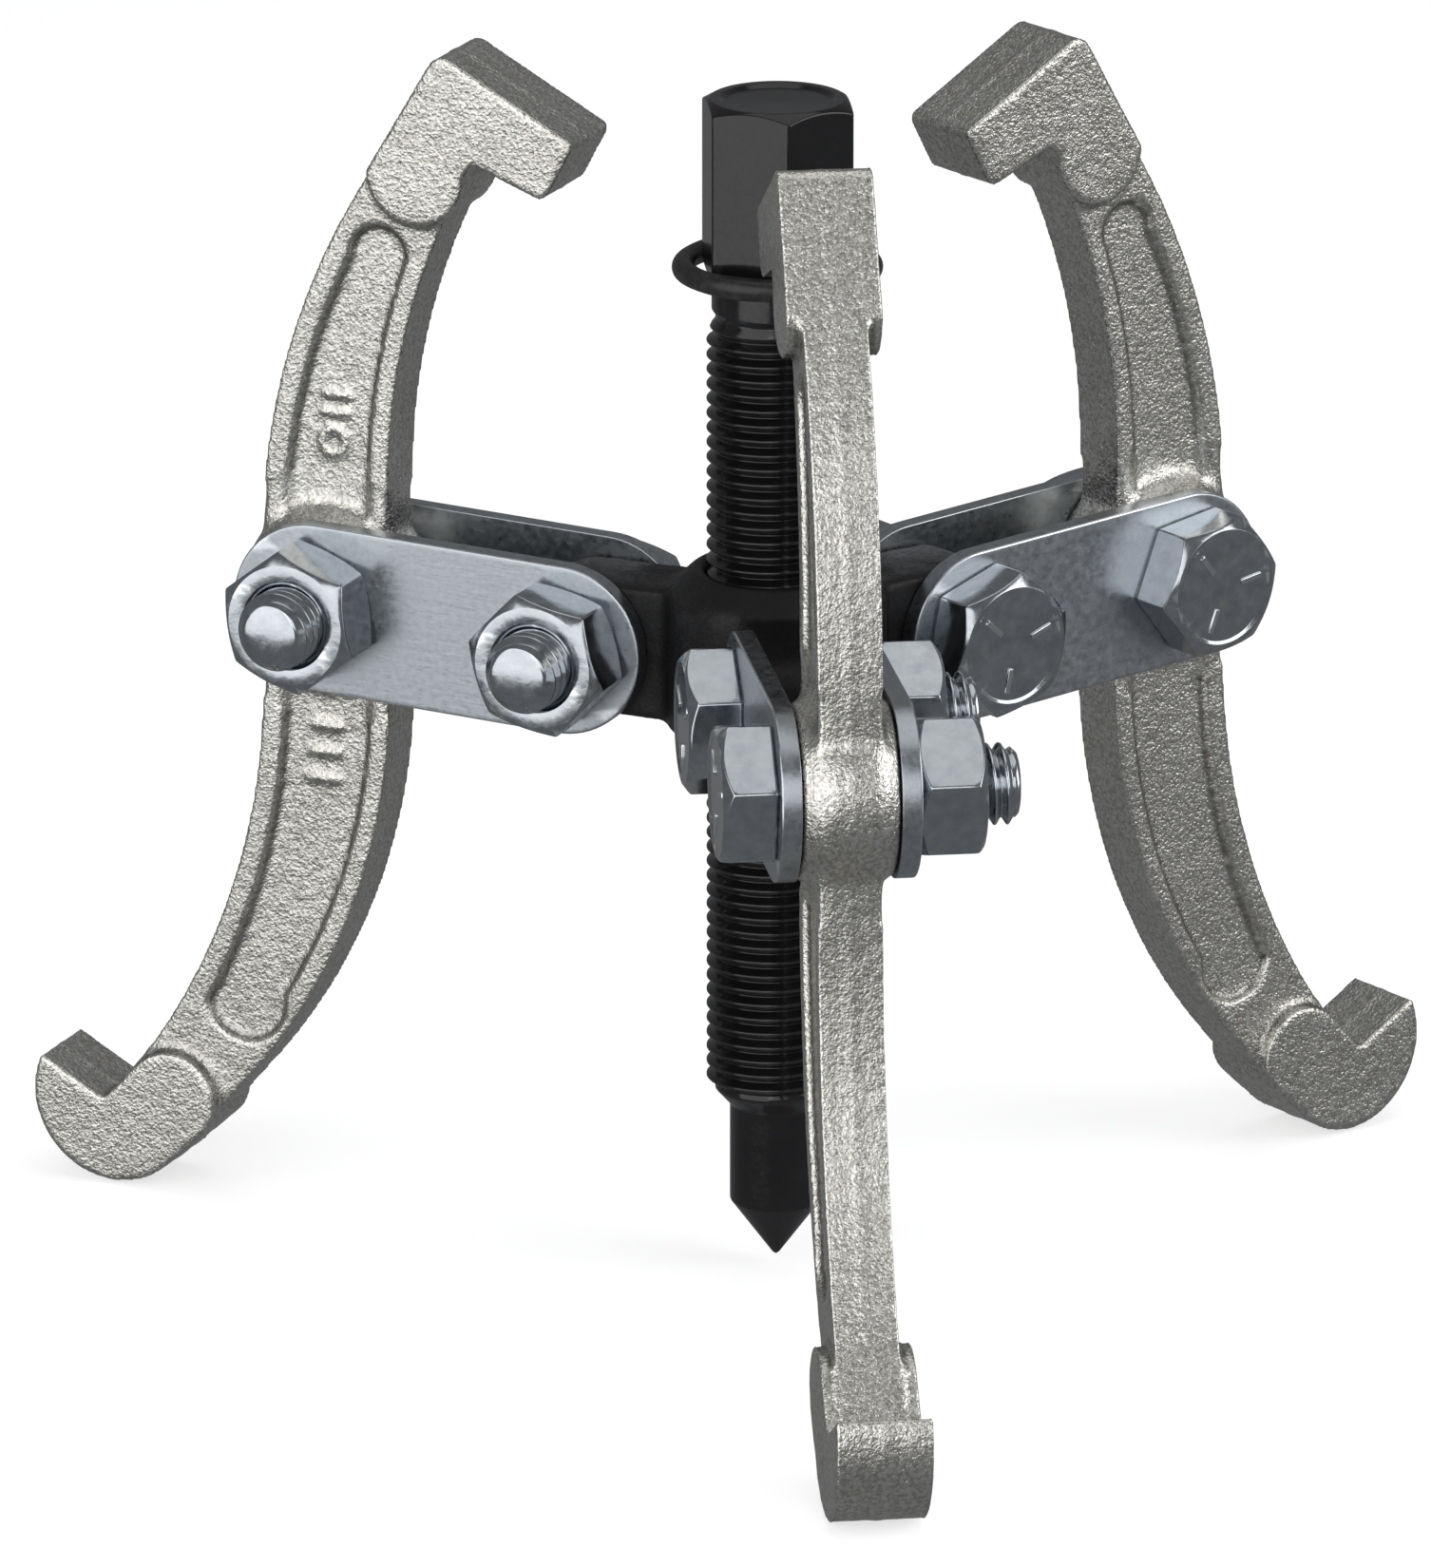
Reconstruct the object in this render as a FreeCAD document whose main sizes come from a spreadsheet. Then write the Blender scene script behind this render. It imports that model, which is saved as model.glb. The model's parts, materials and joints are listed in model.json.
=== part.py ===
"""Three-jaw reversible gear puller, drawn as separate pieces around a vertical forcing screw.

The origin is the point of the screw and +Z runs up the screw's axis to its hexagon. The three jaws
stand at -90, 30 and 150 degrees about that axis. Every length is in millimetres.
"""
import FreeCAD, Part
import math
import os
import Sketcher

Vector = FreeCAD.Vector
Rotation = FreeCAD.Rotation
Placement = FreeCAD.Placement

# Driving dimensions: alias, value, what it is.
SIZES = [
    # the screw, from its point upwards
    ("screw_diameter", 14.0, "crest of the M14 thread"),
    ("screw_pitch", 1.5, "M14 x 1.5"),
    ("thread_depth", 0.92, "crest to root"),
    ("cone_height", 6.1, "point of the screw"),
    ("dog_diameter", 9.3, "plain nose above the point"),
    ("dog_top", 16.3, "height of the top of the nose"),
    ("thread_bottom", 19.0, "height where the thread starts"),
    ("thread_top", 97.4, "height where the thread ends"),
    ("neck_diameter", 13.0, "plain neck under the hexagon"),
    ("hexagon_bottom", 102.6, "height of the hexagon's underside"),
    ("screw_length", 120.3, "point to top of the hexagon"),
    ("hexagon_flats", 14.0, "across the flats"),
    ("ring_wire", 2.3, "rubber ring's thickness"),
    ("ring_clearance", 0.04, "ring to hexagon corner"),
    ("ring_height", 103.2, "height of the ring's middle"),
    # the yoke
    ("yoke_height", 63.1, "height of the yoke's three pivots"),
    ("yoke_pivot_radius", 20.7, "screw axis to a yoke pivot"),
    ("hub_radius", 11.0, "round middle of the yoke"),
    ("hub_rise", 9.6, "hub above the pivots"),
    ("hub_drop", 7.6, "hub below the pivots"),
    ("hub_shoulder", 2.8, "slope round the hub's top"),
    ("arm_height", 13.6, "height of an arm and of its round end"),
    ("hub_foot_round", 1.0, "rounded lower edge of the hub"),
    ("hub_side_round", 2.2, "rounded outer edge of the hub's slope"),
    ("hub_top_round", 1.4, "rounded inner edge of the hub's slope"),
    ("bore_lead", 1.3, "countersink at the top of the bore"),
    ("screw_clearance", 0.05, "radial, screw crest to yoke"),
    # links and their fasteners
    ("link_length", 27.0, "between a link's two bolts"),
    ("link_rise_angle", 2.5, "slope of the links, outer end up"),
    ("link_width", 17.4, "height of a link plate"),
    ("link_thickness", 2.0, "zinc-plated strip"),
    ("link_gap", 9.6, "between a pair of link plates"),
    ("side_play", 0.05, "boss to link plate, each side"),
    ("bolt_diameter", 8.0, "M8"),
    ("bolt_length", 24.0, "under the head"),
    ("bolt_tip_chamfer", 0.9, "end of the bolt"),
    ("bolt_play", 0.08, "radial, bolt to what turns on it"),
    ("plate_play", 0.05, "radial, bolt to plate and nut"),
    ("head_flats", 13.0, "M8 head and nut across the flats"),
    ("head_height", 5.3, "M8 head"),
    ("corner_cone", 30.0, "slope of the cone that trims a hexagon's corners"),
    ("nut_height", 6.6, "M8 nut"),
    # the jaw, measured from its pivot
    ("beam_thickness", 6.4, "jaw between its two ends"),
    ("beam_outer", 7.4, "pivot to the outer edge"),
    ("beam_inner", 6.9, "pivot to the inner edge"),
    ("boss_radius", 8.3, "raised round at the pivot"),
    ("boss_slope", 1.6, "flare from the beam to the boss"),
    ("upper_outer_bend", 74.0, "radius of the back above the pivot"),
    ("upper_inner_bend", 66.8, "radius of the front above the pivot"),
    ("lower_outer_bend", 71.0, "radius of the back below the pivot"),
    ("lower_inner_bend", 66.0, "radius of the front below the pivot"),
    ("upper_outer_start", 4.0, "height where the back starts to bend in"),
    ("upper_inner_start", 12.0, "height where the front starts to bend in"),
    ("lower_start", 9.0, "depth where the foot starts to bend out"),
    ("head_thickness", 9.4, "hook end and foot end"),
    ("hook_peak_in", 13.0, "top corner of the hook, towards the screw"),
    ("hook_peak_up", 58.4, "top corner of the hook, above the pivot"),
    ("hook_back_up", 41.0, "height where the hook's back leaves the bend"),
    ("hook_slope", 28.5, "fall of the hook finger"),
    ("hook_finger", 17.1, "length of the finger's top"),
    ("hook_finger_end", 7.2, "thickness of the finger at its end"),
    ("hook_peak_round", 1.8, "rounded top corner of the hook"),
    ("hook_tip_round", 0.9, "rounded end of the finger, upper corner"),
    ("hook_tip_edge", 1.2, "rounded end of the finger, lower corner"),
    ("hook_throat_up", 47.0, "height of the inner corner under the finger"),
    ("hook_pad_up", 45.4, "middle of the hook pad's round end"),
    ("foot_radius", 9.0, "round end of the foot"),
    ("foot_out", 24.2, "middle of the foot's round, outwards"),
    ("foot_down", 56.0, "middle of the foot's round, below the pivot"),
    ("foot_bend_end", 40.3, "length of the back's lower bend"),
    ("foot_inner_end", 43.8, "length of the front's lower bend"),
    ("foot_corner_out", 25.3, "inner corner of the small hook, outwards"),
    ("foot_corner_down", 56.0, "inner corner of the small hook, below"),
    ("foot_tip_angle", 26.0, "tip of the small hook on its round"),
    ("foot_pad_radius", 5.1, "round end of the foot pad"),
    ("foot_pad_out", 17.7, "middle of that round, outwards"),
    ("foot_pad_down", 55.3, "middle of that round, below the pivot"),
    ("panel_depth", 0.8, "sunk panel in each side"),
    ("rail_outer", 2.5, "rim left along the back"),
    ("rail_inner", 2.3, "rim left along the front"),
    ("panel_top", 36.2, "middle of the upper panel's round end"),
    ("panel_bottom", 44.4, "middle of the lower panel's round end"),
    ("panel_top_lean", 0.9, "lean of the upper panel's round end, inwards"),
    ("panel_foot_lean", 1.6, "lean of the lower panel's round end, outwards"),
    ("panel_foot_flat", 0.9, "how much flatter than a half round that end is"),
    ("panel_foot_skew", 1.5, "its front corner above its back one"),
]

JAW_ANGLES = {"front": -90.0, "right": 30.0, "left": 150.0}

document = FreeCAD.newDocument("GearPuller")
sheet = document.addObject("Spreadsheet::Sheet", "Sizes")
for row, (alias, value, words) in enumerate(SIZES, start=1):
    sheet.set(f"A{row}", alias)
    sheet.set(f"B{row}", str(value))
    sheet.set(f"C{row}", words)
    sheet.setAlias(f"B{row}", alias)
document.recompute()


def size(alias):
    """The value of one cell of the sheet."""
    return float(sheet.get(alias))


def bind(feature, prop, expression):
    """Tie a feature's size to the sheet; names in angle brackets are aliases."""
    feature.setExpression(prop, expression.replace("<", "Sizes.").replace(">", ""))


def new_body(label):
    """An empty body whose label names its file."""
    body = document.addObject("PartDesign::Body", label)
    body.Label = label
    return body


def sketch_on(body, name, plane):
    """An empty sketch on one of the body's own origin planes."""
    sketch = body.newObject("Sketcher::SketchObject", name)
    flat = next(o for o in body.Origin.OriginFeatures if o.Role == plane)
    sketch.AttachmentSupport = [(flat, "")]
    sketch.MapMode = "FlatFace"
    return sketch


def draw(sketch, edges):
    """Draw a closed chain of edges and join each to the next."""
    first = sketch.GeometryCount
    for edge in edges:
        sketch.addGeometry(edge, False)
    count = len(edges)
    for i in range(count if count > 1 else 0):
        here, following = edges[i], edges[(i + 1) % count]
        end = 2 if touches(here.EndPoint, following) else 1
        start = 1 if near(point_of(following, 1), point_of(here, end)) else 2
        sketch.addConstraint(
            Sketcher.Constraint("Coincident", first + i, end, first + (i + 1) % count, start)
        )


def near(one, other):
    """Whether two points are the same."""
    return (one - other).Length < 1e-4


def point_of(edge, which):
    """A line's or arc's start (1) or end (2)."""
    return edge.StartPoint if which == 1 else edge.EndPoint


def touches(point, edge):
    """Whether a point is at either end of an edge."""
    return near(point, edge.StartPoint) or near(point, edge.EndPoint)


def line(start, end):
    """A straight edge between two points of a sketch."""
    return Part.LineSegment(Vector(*start, 0), Vector(*end, 0))


def polygon(points):
    """The straight edges round a list of points."""
    return [line(points[i], points[(i + 1) % len(points)]) for i in range(len(points))]


def arc(centre, radius, start_degrees, end_degrees):
    """An arc from one angle anticlockwise to the other."""
    circle = Part.Circle(Vector(*centre, 0), Vector(0, 0, 1), radius)
    return Part.ArcOfCircle(circle, math.radians(start_degrees), math.radians(end_degrees))


def on_circle(centre, radius, degrees):
    """The point of a circle at an angle."""
    turn = math.radians(degrees)
    return centre[0] + radius * math.cos(turn), centre[1] + radius * math.sin(turn)


def angle_of(centre, point):
    """The angle at which a point lies from a centre."""
    return math.degrees(math.atan2(point[1] - centre[1], point[0] - centre[0]))


def rounded(points, radii):
    """Edges round a polygon with each corner rounded by its own radius; 0 leaves it sharp."""
    edges, count = [], len(points)
    ends = []
    for i in range(count):
        before, here, after = points[i - 1], points[i], points[(i + 1) % count]
        to_before = unit(here, before)
        to_after = unit(here, after)
        half = 0.5 * math.acos(to_before[0] * to_after[0] + to_before[1] * to_after[1])
        cut = radii[i] / math.tan(half)
        one = (here[0] + to_before[0] * cut, here[1] + to_before[1] * cut)
        two = (here[0] + to_after[0] * cut, here[1] + to_after[1] * cut)
        reach = radii[i] / math.sin(half)
        middle = unit((0, 0), (to_before[0] + to_after[0], to_before[1] + to_after[1]))
        centre = (here[0] + middle[0] * reach, here[1] + middle[1] * reach)
        via = (centre[0] - middle[0] * radii[i], centre[1] - middle[1] * radii[i])
        ends.append((one, via, two))
    for i in range(count):
        one, via, two = ends[i]
        if radii[i] > 0:
            edges.append(Part.Arc(Vector(*one, 0), Vector(*via, 0), Vector(*two, 0)))
        edges.append(line(two, ends[(i + 1) % count][0]))
    return edges


def unit(start, end):
    """The direction from one point to another."""
    across, up = end[0] - start[0], end[1] - start[1]
    length = math.hypot(across, up)
    return across / length, up / length


def pad(body, sketch, name, length, midplane=False):
    """Raise a sketch into a solid; length is an expression."""
    feature = body.newObject("PartDesign::Pad", name)
    feature.Profile = sketch
    feature.Midplane = midplane
    bind(feature, "Length", length)
    document.recompute()
    return feature


def revolve(body, sketch, name, kind="PartDesign::Revolution"):
    """Turn a sketch about its own upright axis, adding or (as a Groove) cutting."""
    before = body.Shape.Volume if kind == "PartDesign::Groove" else 0.0
    feature = body.newObject(kind, name)
    feature.Profile = sketch
    feature.ReferenceAxis = (sketch, ["V_Axis"])
    feature.Angle = 360.0
    document.recompute()
    if before and body.Shape.Volume >= before:
        raise ValueError(f"{name} cuts nothing")
    return feature


def pocket(body, sketch, name):
    """Cut a sketch right through, both ways."""
    before = body.Shape.Volume
    feature = body.newObject("PartDesign::Pocket", name)
    feature.Profile = sketch
    feature.Type = "ThroughAll"
    feature.Midplane = True
    document.recompute()
    if body.Shape.Volume >= before:
        raise ValueError(f"{name} cuts nothing")
    return feature


def hexagon(flats):
    """The corners of a hexagon with two flats square to the sketch's X axis."""
    corner = flats / math.sqrt(3)
    return [on_circle((0, 0), corner, 30 + 60 * i) for i in range(6)]


# The cone that trims a hexagon's corners, as shares of its width: inside the flats to past a corner.
CONE_START, CONE_END = 0.475, 0.7


def cone_corners(body, name, flats, level, upward):
    """Cone off the corners of a hexagon at the level of its top (upward) or underside."""
    inner, outer = CONE_START * flats, CONE_END * flats
    fall = (outer - inner) * math.tan(math.radians(size("corner_cone")))
    sign = 1 if upward else -1
    beyond = level + sign
    corners = [(inner, level), (outer, level - sign * fall), (outer, beyond), (inner, beyond)]
    sketch = sketch_on(body, name + "Profile", "XZ_Plane")
    draw(sketch, polygon(corners))
    document.recompute()
    return revolve(body, sketch, name, "PartDesign::Groove")


def jaw_pivot():
    """The radius and height of the jaws' pivots."""
    rise = math.radians(size("link_rise_angle"))
    radius = size("yoke_pivot_radius") + size("link_length") * math.cos(rise)
    return radius, size("yoke_height") + size("link_length") * math.sin(rise)


def place(body, angle, radius, height, side=0.0, tilt=Rotation()):
    """Put a body at a jaw's angle, radius and height, moved sideways towards the nuts."""
    turn = Rotation(Vector(0, 0, 1), angle)
    body.Placement = Placement(
        turn.multVec(Vector(radius, side, 0)) + Vector(0, 0, height), turn.multiply(tilt)
    )


# A body drawn along its own Z lies along the jaws' sideways direction after this turn.
LAID_SIDEWAYS = Rotation(Vector(1, 0, 0), -90.0)


def make_forcing_screw():
    """Hexagon, neck, thread, plain nose and point, in one turned piece."""
    body = new_body("forcing_screw")
    crest = size("screw_diameter") / 2
    root = crest - size("thread_depth")
    pitch = size("screw_pitch")
    nose = size("dog_diameter") / 2
    neck = size("neck_diameter") / 2
    bottom, top = size("thread_bottom"), size("thread_top")
    profile = [(0, 0), (nose, size("cone_height")), (nose, size("dog_top")), (root, bottom)]
    flank = size("thread_depth") * math.tan(math.radians(30.0))
    crest_flat = (pitch - 2 * flank) / 3
    level = bottom
    while level + pitch < top:
        profile += [(crest, level + flank), (crest, level + flank + crest_flat)]
        profile += [(root, level + 2 * flank + crest_flat), (root, level + pitch)]
        level += pitch
    profile += [(root, top), (neck, top + neck - root), (neck, size("hexagon_bottom"))]
    profile += [(neck, size("hexagon_bottom") + 1), (0, size("hexagon_bottom") + 1)]
    turned = sketch_on(body, "TurnedProfile", "XZ_Plane")
    draw(turned, polygon(profile))
    document.recompute()
    revolve(body, turned, "Turned")
    six = sketch_on(body, "HexagonOutline", "XY_Plane")
    draw(six, polygon(hexagon(size("hexagon_flats"))))
    bind(six, "AttachmentOffset.Base.z", "<hexagon_bottom>")
    document.recompute()
    pad(body, six, "Hexagon", "<screw_length> - <hexagon_bottom>")
    cone_corners(body, "TopCone", size("hexagon_flats"), size("screw_length"), True)
    cone_corners(body, "UnderCone", size("hexagon_flats"), size("hexagon_bottom"), False)
    return body


def make_rubber_ring():
    """A round rubber ring that grips the lower end of the hexagon."""
    body = new_body("rubber_ring")
    corner = size("hexagon_flats") / math.sqrt(3)
    wire = size("ring_wire") / 2
    section = sketch_on(body, "RingSection", "XZ_Plane")
    middle = Vector(corner + size("ring_clearance") + wire, size("ring_height"), 0)
    section.addGeometry(Part.Circle(middle, Vector(0, 0, 1), wire), False)
    document.recompute()
    revolve(body, section, "Ring")
    return body


def make_yoke():
    """The forged hub with three arms, a bore for the screw and a bolt hole in each arm."""
    body = new_body("yoke")
    reach, half = size("yoke_pivot_radius"), size("arm_height") / 2
    top, bottom = size("hub_rise"), -size("hub_drop")
    radius, shoulder = size("hub_radius"), size("hub_shoulder")
    hub = sketch_on(body, "HubProfile", "XZ_Plane")
    corners = [(0, bottom), (radius, bottom), (radius, top - shoulder)]
    corners += [(radius - shoulder, top), (0, top)]
    rounds = [0, size("hub_foot_round"), size("hub_side_round"), size("hub_top_round"), 0]
    draw(hub, rounded(corners, rounds))
    document.recompute()
    revolve(body, hub, "Hub")
    side = sketch_on(body, "ArmOutline", "XZ_Plane")
    draw(side, [line((0, half), (0, -half)), line((0, -half), (reach, -half)),
                arc((reach, 0), half, -90, 90), line((reach, half), (0, half))])
    document.recompute()
    arm = pad(body, side, "Arm", "<link_gap> - 2 * <side_play>", midplane=True)
    hole = sketch_on(body, "ArmHole", "XZ_Plane")
    bolt = size("bolt_diameter") / 2 + size("bolt_play")
    hole.addGeometry(Part.Circle(Vector(reach, 0, 0), Vector(0, 0, 1), bolt), False)
    document.recompute()
    bored = pocket(body, hole, "ArmBore")
    arms = body.newObject("PartDesign::PolarPattern", "Arms")
    arms.Originals = [arm, bored]
    arms.Axis = (hub, ["V_Axis"])
    arms.Angle = 360.0
    arms.Occurrences = 3
    body.Tip = arms
    document.recompute()
    bore = sketch_on(body, "BoreOutline", "XY_Plane")
    wall = size("screw_diameter") / 2 + size("screw_clearance")
    bore.addGeometry(Part.Circle(Vector(0, 0, 0), Vector(0, 0, 1), wall), False)
    document.recompute()
    pocket(body, bore, "Bore")
    lead = sketch_on(body, "LeadProfile", "XZ_Plane")
    inside, cone = wall - 0.5, size("bore_lead")
    draw(lead, polygon([(inside, top + 0.5), (wall + cone, top + 0.5), (inside, top - cone)]))
    document.recompute()
    revolve(body, lead, "Lead", "PartDesign::Groove")
    place(body, JAW_ANGLES["front"], 0, size("yoke_height"))
    return body


def upper_bends():
    """Centres and radii of the jaw's back and front above the pivot."""
    back = size("upper_outer_bend")
    front = size("upper_inner_bend")
    return (
        ((size("beam_outer") - back, size("upper_outer_start")), back),
        ((-size("beam_inner") - front, size("upper_inner_start")), front),
    )


def lower_bends():
    """Centres and radii of the jaw's back and front below the pivot."""
    back = size("lower_outer_bend")
    front = size("lower_inner_bend")
    return (
        ((size("beam_outer") + back, -size("lower_start")), back),
        ((front - size("beam_inner"), -size("lower_start")), front),
    )


def at_height(bend, height, side):
    """The point of a bend at a height, on its right (1) or left (-1)."""
    (across, up), radius = bend
    return across + side * math.sqrt(radius**2 - (height - up) ** 2), height


def hook_corners():
    """Peak, finger tip top, finger tip bottom and throat corner of the big hook."""
    peak = (-size("hook_peak_in"), size("hook_peak_up"))
    fall = math.radians(size("hook_slope"))
    along = (-math.cos(fall), -math.sin(fall))
    down = (math.sin(fall), -math.cos(fall))
    tip = (peak[0] + along[0] * size("hook_finger"), peak[1] + along[1] * size("hook_finger"))
    end = size("hook_finger_end")
    under = (tip[0] + down[0] * end, tip[1] + down[1] * end)
    throat = at_height(upper_bends()[1], size("hook_throat_up"), 1)
    return peak, tip, under, throat


def hook_rounds():
    """Radii of the hook's peak and of the finger's upper and lower corners."""
    return size("hook_peak_round"), size("hook_tip_round"), size("hook_tip_edge")


def foot_round():
    """Centre, tip and the point where the foot's round meets the front edge."""
    centre = (size("foot_out"), -size("foot_down"))
    radius = size("foot_radius")
    tip = on_circle(centre, radius, size("foot_tip_angle"))
    bend = lower_bends()[1]
    inner = at_height(bend, bend[0][1] - size("foot_inner_end"), -1)
    away = math.hypot(inner[0] - centre[0], inner[1] - centre[1])
    turn = angle_of(centre, inner) + math.degrees(math.acos(radius / away))
    return centre, tip, on_circle(centre, radius, turn), inner


def jaw_outline():
    """The whole side of the jaw: big hook, bowed beam and small hook."""
    peak, tip, under, throat = hook_corners()
    back, front = upper_bends()
    low_back, low_front = lower_bends()
    shoulder = at_height(back, size("hook_back_up"), 1)
    centre, foot_tip, tangent, inner = foot_round()
    corner = (size("foot_corner_out"), -size("foot_corner_down"))
    heel = at_height(low_back, low_back[0][1] - size("foot_bend_end"), -1)
    start = (size("beam_outer"), -size("lower_start"))
    front_low = (-size("beam_inner"), -size("lower_start"))
    front_high = (-size("beam_inner"), size("upper_inner_start"))
    back_high = (size("beam_outer"), size("upper_outer_start"))
    hook = rounded([shoulder, peak, tip, under, throat], [0, *hook_rounds(), 0])
    return [
        line(start, back_high),
        arc(*back, 0, angle_of(back[0], shoulder)),
        *hook[:-1],
        arc(*front, 0, angle_of(front[0], throat)),
        line(front_high, front_low),
        arc(*low_front, 180, 360 + angle_of(low_front[0], inner)),
        line(inner, tangent),
        arc(centre, size("foot_radius"), angle_of(centre, tangent), size("foot_tip_angle")),
        line(foot_tip, corner),
        line(corner, heel),
        arc(*low_back, 180, 360 + angle_of(low_back[0], heel)),
    ]


def hook_pad_outline():
    """The thick end at the big hook, with its round lower edge."""
    peak, tip, under, throat = hook_corners()
    level = size("hook_pad_up")
    shoulder = at_height(upper_bends()[0], size("hook_back_up"), 1)
    share = (level - shoulder[1]) / (peak[1] - shoulder[1])
    back = (shoulder[0] + share * (peak[0] - shoulder[0]), level)
    front = at_height(upper_bends()[1], level, 1)
    middle, radius = ((back[0] + front[0]) / 2, level), (back[0] - front[0]) / 2
    edges = rounded([back, peak, tip, under, throat, front], [0, *hook_rounds(), 0, 0])
    return [*edges[:-1], arc(middle, radius, 180, 360)]


def foot_pad_outline():
    """The thick end at the small hook, with its round upper edge."""
    centre, foot_tip, tangent, inner = foot_round()
    corner = (size("foot_corner_out"), -size("foot_corner_down"))
    low_back = lower_bends()[0]
    heel = at_height(low_back, low_back[0][1] - size("foot_bend_end"), -1)
    middle = (size("foot_pad_out"), -size("foot_pad_down"))
    radius = size("foot_pad_radius")
    along = unit(corner, heel)
    on_back = angle_of((0, 0), (-along[1], along[0]))
    front = unit(tangent, inner)
    on_front = angle_of((0, 0), (-front[1], front[0]))
    one = on_circle(middle, radius, on_back + 180)
    two = on_circle(middle, radius, on_front)
    turn = on_front + 360 if on_front < on_back + 180 else on_front
    return [
        line(corner, one),
        arc(middle, radius, on_back + 180, turn),
        line(two, tangent),
        arc(centre, size("foot_radius"), angle_of(centre, tangent), size("foot_tip_angle")),
        line(foot_tip, corner),
    ]


def upper_panel():
    """The sunk panel above the pivot, between the two rims, with a round top."""
    (back, back_radius), (front, front_radius) = upper_bends()
    outer = (back, back_radius - size("rail_outer"))
    inner = (front, front_radius + size("rail_inner"))
    level = size("panel_top")
    right, left = at_height(outer, level, 1), at_height(inner, level, 1)
    middle = (right[0] + left[0]) / 2 - size("panel_top_lean")
    top = (middle, level + (right[0] - left[0]) / 2)
    low_right = (size("beam_outer") - size("rail_outer"), size("upper_outer_start"))
    low_left = (size("rail_inner") - size("beam_inner"), size("upper_inner_start"))
    return [
        arc(*outer, 0, angle_of(outer[0], right)),
        Part.Arc(Vector(*right, 0), Vector(*top, 0), Vector(*left, 0)),
        arc(*inner, 0, angle_of(inner[0], left)),
        line(low_left, (low_left[0], 0)),
        line((low_left[0], 0), (low_right[0], 0)),
        line((low_right[0], 0), low_right),
    ]


def lower_panel():
    """The sunk panel below the pivot, between the two rims, with a round foot."""
    (back, back_radius), (front, front_radius) = lower_bends()
    outer = (back, back_radius + size("rail_outer"))
    inner = (front, front_radius - size("rail_inner"))
    level = -size("panel_bottom")
    right = at_height(outer, level, -1)
    left = at_height(inner, level + size("panel_foot_skew"), -1)
    middle = (right[0] + left[0]) / 2 + size("panel_foot_lean")
    foot = (middle, level - (right[0] - left[0]) / 2 + size("panel_foot_flat"))
    high_right = (size("beam_outer") - size("rail_outer"), -size("lower_start"))
    high_left = (size("rail_inner") - size("beam_inner"), -size("lower_start"))
    return [
        arc(*outer, 180, 360 + angle_of(outer[0], right)),
        Part.Arc(Vector(*left, 0), Vector(*foot, 0), Vector(*right, 0)),
        arc(*inner, 180, 360 + angle_of(inner[0], left)),
        line(high_left, (high_left[0], 0)),
        line((high_left[0], 0), (high_right[0], 0)),
        line((high_right[0], 0), high_right),
    ]


def cut_panel(body, name, edges, side):
    """Sink a panel into one side (1 or -1) of the beam."""
    sketch = sketch_on(body, name + "Outline", "XZ_Plane")
    draw(sketch, edges)
    sign = "" if side > 0 else "-"
    bind(sketch, "AttachmentOffset.Base.z", f"{sign}(<beam_thickness> / 2 - <panel_depth>)")
    document.recompute()
    before = body.Shape.Volume
    feature = body.newObject("PartDesign::Pocket", name)
    feature.Profile = sketch
    feature.Type = "Length"
    feature.Reversed = side > 0
    bind(feature, "Length", "<panel_depth> + 1")
    document.recompute()
    if body.Shape.Volume >= before - 1:
        raise ValueError(f"{name} cuts nothing")


def make_jaw(where):
    """One forged jaw with its big hook up and its small hook down."""
    body = new_body("jaw_" + where)
    side = sketch_on(body, "JawOutline", "XZ_Plane")
    draw(side, jaw_outline())
    document.recompute()
    pad(body, side, "Beam", "<beam_thickness>", midplane=True)
    for face, sign in (("Nut", -1), ("Head", 1)):
        cut_panel(body, "UpperPanel" + face, upper_panel(), sign)
        cut_panel(body, "LowerPanel" + face, lower_panel(), sign)
    for name, edges in (("HookPad", hook_pad_outline()), ("FootPad", foot_pad_outline())):
        thick = sketch_on(body, name + "Outline", "XZ_Plane")
        draw(thick, edges)
        document.recompute()
        pad(body, thick, name, "<head_thickness>", midplane=True)
    face = size("link_gap") / 2 - size("side_play")
    radius = size("boss_radius")
    boss = sketch_on(body, "BossProfile", "YZ_Plane")
    low = radius + size("boss_slope")
    foot = size("beam_thickness") / 2 - size("panel_depth")
    shape = [(-face, 0), (face, 0), (face, radius), (foot, low), (-foot, low), (-face, radius)]
    draw(boss, polygon(shape))
    document.recompute()
    turned = body.newObject("PartDesign::Revolution", "Boss")
    turned.Profile = boss
    turned.ReferenceAxis = (boss, ["H_Axis"])
    turned.Angle = 360.0
    document.recompute()
    hole = sketch_on(body, "PivotOutline", "XZ_Plane")
    bolt = size("bolt_diameter") / 2 + size("bolt_play")
    hole.addGeometry(Part.Circle(Vector(0, 0, 0), Vector(0, 0, 1), bolt), False)
    document.recompute()
    pocket(body, hole, "PivotBore")
    radius, height = jaw_pivot()
    place(body, JAW_ANGLES[where], radius, height)
    return body


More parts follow.
